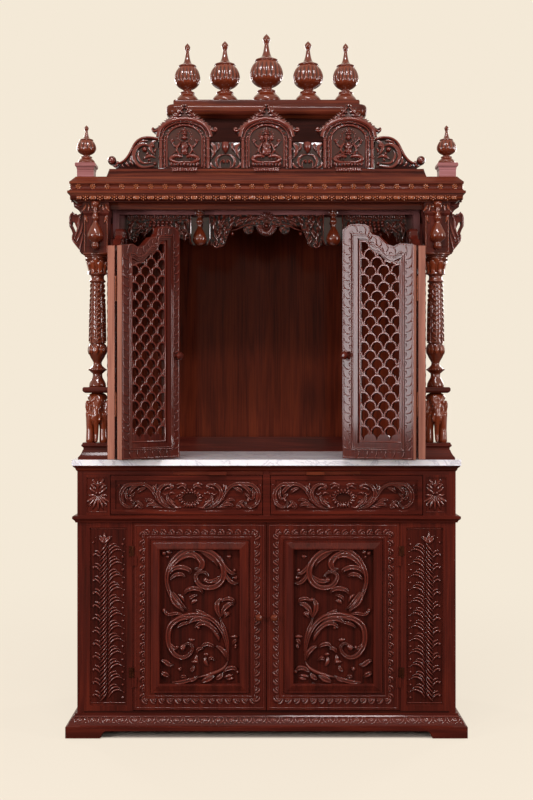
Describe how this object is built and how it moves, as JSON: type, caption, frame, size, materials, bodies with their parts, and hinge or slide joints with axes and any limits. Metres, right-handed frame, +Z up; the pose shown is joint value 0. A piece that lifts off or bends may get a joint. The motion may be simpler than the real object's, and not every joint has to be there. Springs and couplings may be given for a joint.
{
  "type": "pooja mandir",
  "caption": "Carved wooden home shrine on a cabinet with drawers, pull-out trays and doors, a marble top, folding lattice leaves and a row of finials.",
  "frame": {"origin": "on the floor under the middle of the whole object's box, folded leaves included", "axes": "+Z up, the front faces -Y, +X to the right seen from the front"},
  "size_m": [1.219, 0.7154, 2.208],
  "materials": {
    "rosewood": "polished dark rosewood stain",
    "carved_wood": "polished carved rosewood stain",
    "inner_wood": "satin dark stain",
    "marble": "polished white marble",
    "brass": "aged brass"
  },
  "bodies": {
    "mandir": {"corner_feet": "rosewood", "plinth": "rosewood", "cabinet_floor": "inner_wood", "cabinet_sides": "rosewood", "cabinet_back": "inner_wood", "drawer_deck": "inner_wood", "corner_blocks": "rosewood", "carved_side_panels": "rosewood", "waist_moulding": "rosewood", "tray_rails": "inner_wood", "top_moulding": "rosewood", "marble_top": "marble", "shrine_back": "inner_wood", "shrine_sides": "inner_wood", "skirting": "rosewood", "ceiling": "inner_wood", "rear_posts": "rosewood", "elephant_pedestals": "carved_wood", "columns": "rosewood", "column_tops": "rosewood", "side_brackets": "carved_wood", "frame_posts": "rosewood", "frame_header": "rosewood", "spandrels": "carved_wood", "pendants": "rosewood", "centre_valance": "carved_wood", "architrave": "rosewood", "leaf_left_outer": "rosewood", "leaf_left_inner": "rosewood", "leaf_right_outer": "rosewood", "leaf_right_inner": "rosewood", "leaf_hinges": "brass", "leaf_knobs": "carved_wood", "cornice": "rosewood", "roof_board": "inner_wood", "pediment_board": "rosewood", "pediment_panels": "rosewood", "pediment_infills": "carved_wood", "end_scrolls": "carved_wood", "roof_block": "inner_wood", "roof_deck": "rosewood", "deck_finials": "rosewood", "corner_finials": "rosewood", "door_hinge_pins": "brass"},
    "door_left": {"door_left": "rosewood", "door_left_knob": "carved_wood"},
    "door_right": {"door_right": "rosewood", "door_right_knob": "carved_wood"},
    "drawer_left": {"drawer_left_front": "rosewood", "drawer_left_box": "inner_wood"},
    "drawer_right": {"drawer_right_front": "rosewood", "drawer_right_box": "inner_wood"},
    "tray_left": {"tray_left": "carved_wood"},
    "tray_right": {"tray_right": "carved_wood"}
  },
  "joints": [
    {"name": "door_left_hinge", "type": "hinge", "parent": "mandir", "child": "door_left", "pos_m": [-0.4075, -0.22499, 0.36], "axis": [0, 0, -1], "range_deg": [0, 100]},
    {"name": "door_right_hinge", "type": "hinge", "parent": "mandir", "child": "door_right", "pos_m": [0.4075, -0.22499, 0.36], "axis": [0, 0, 1], "range_deg": [0, 100]},
    {"name": "drawer_left_slide", "type": "slide", "parent": "mandir", "child": "drawer_left", "axis": [0, -1, 0], "range_m": [0, 0.33]},
    {"name": "drawer_right_slide", "type": "slide", "parent": "mandir", "child": "drawer_right", "axis": [0, -1, 0], "range_m": [0, 0.33]},
    {"name": "tray_left_slide", "type": "slide", "parent": "mandir", "child": "tray_left", "axis": [0, -1, 0], "range_m": [0, 0.3]},
    {"name": "tray_right_slide", "type": "slide", "parent": "mandir", "child": "tray_right", "axis": [0, -1, 0], "range_m": [0, 0.3]}
  ]
}
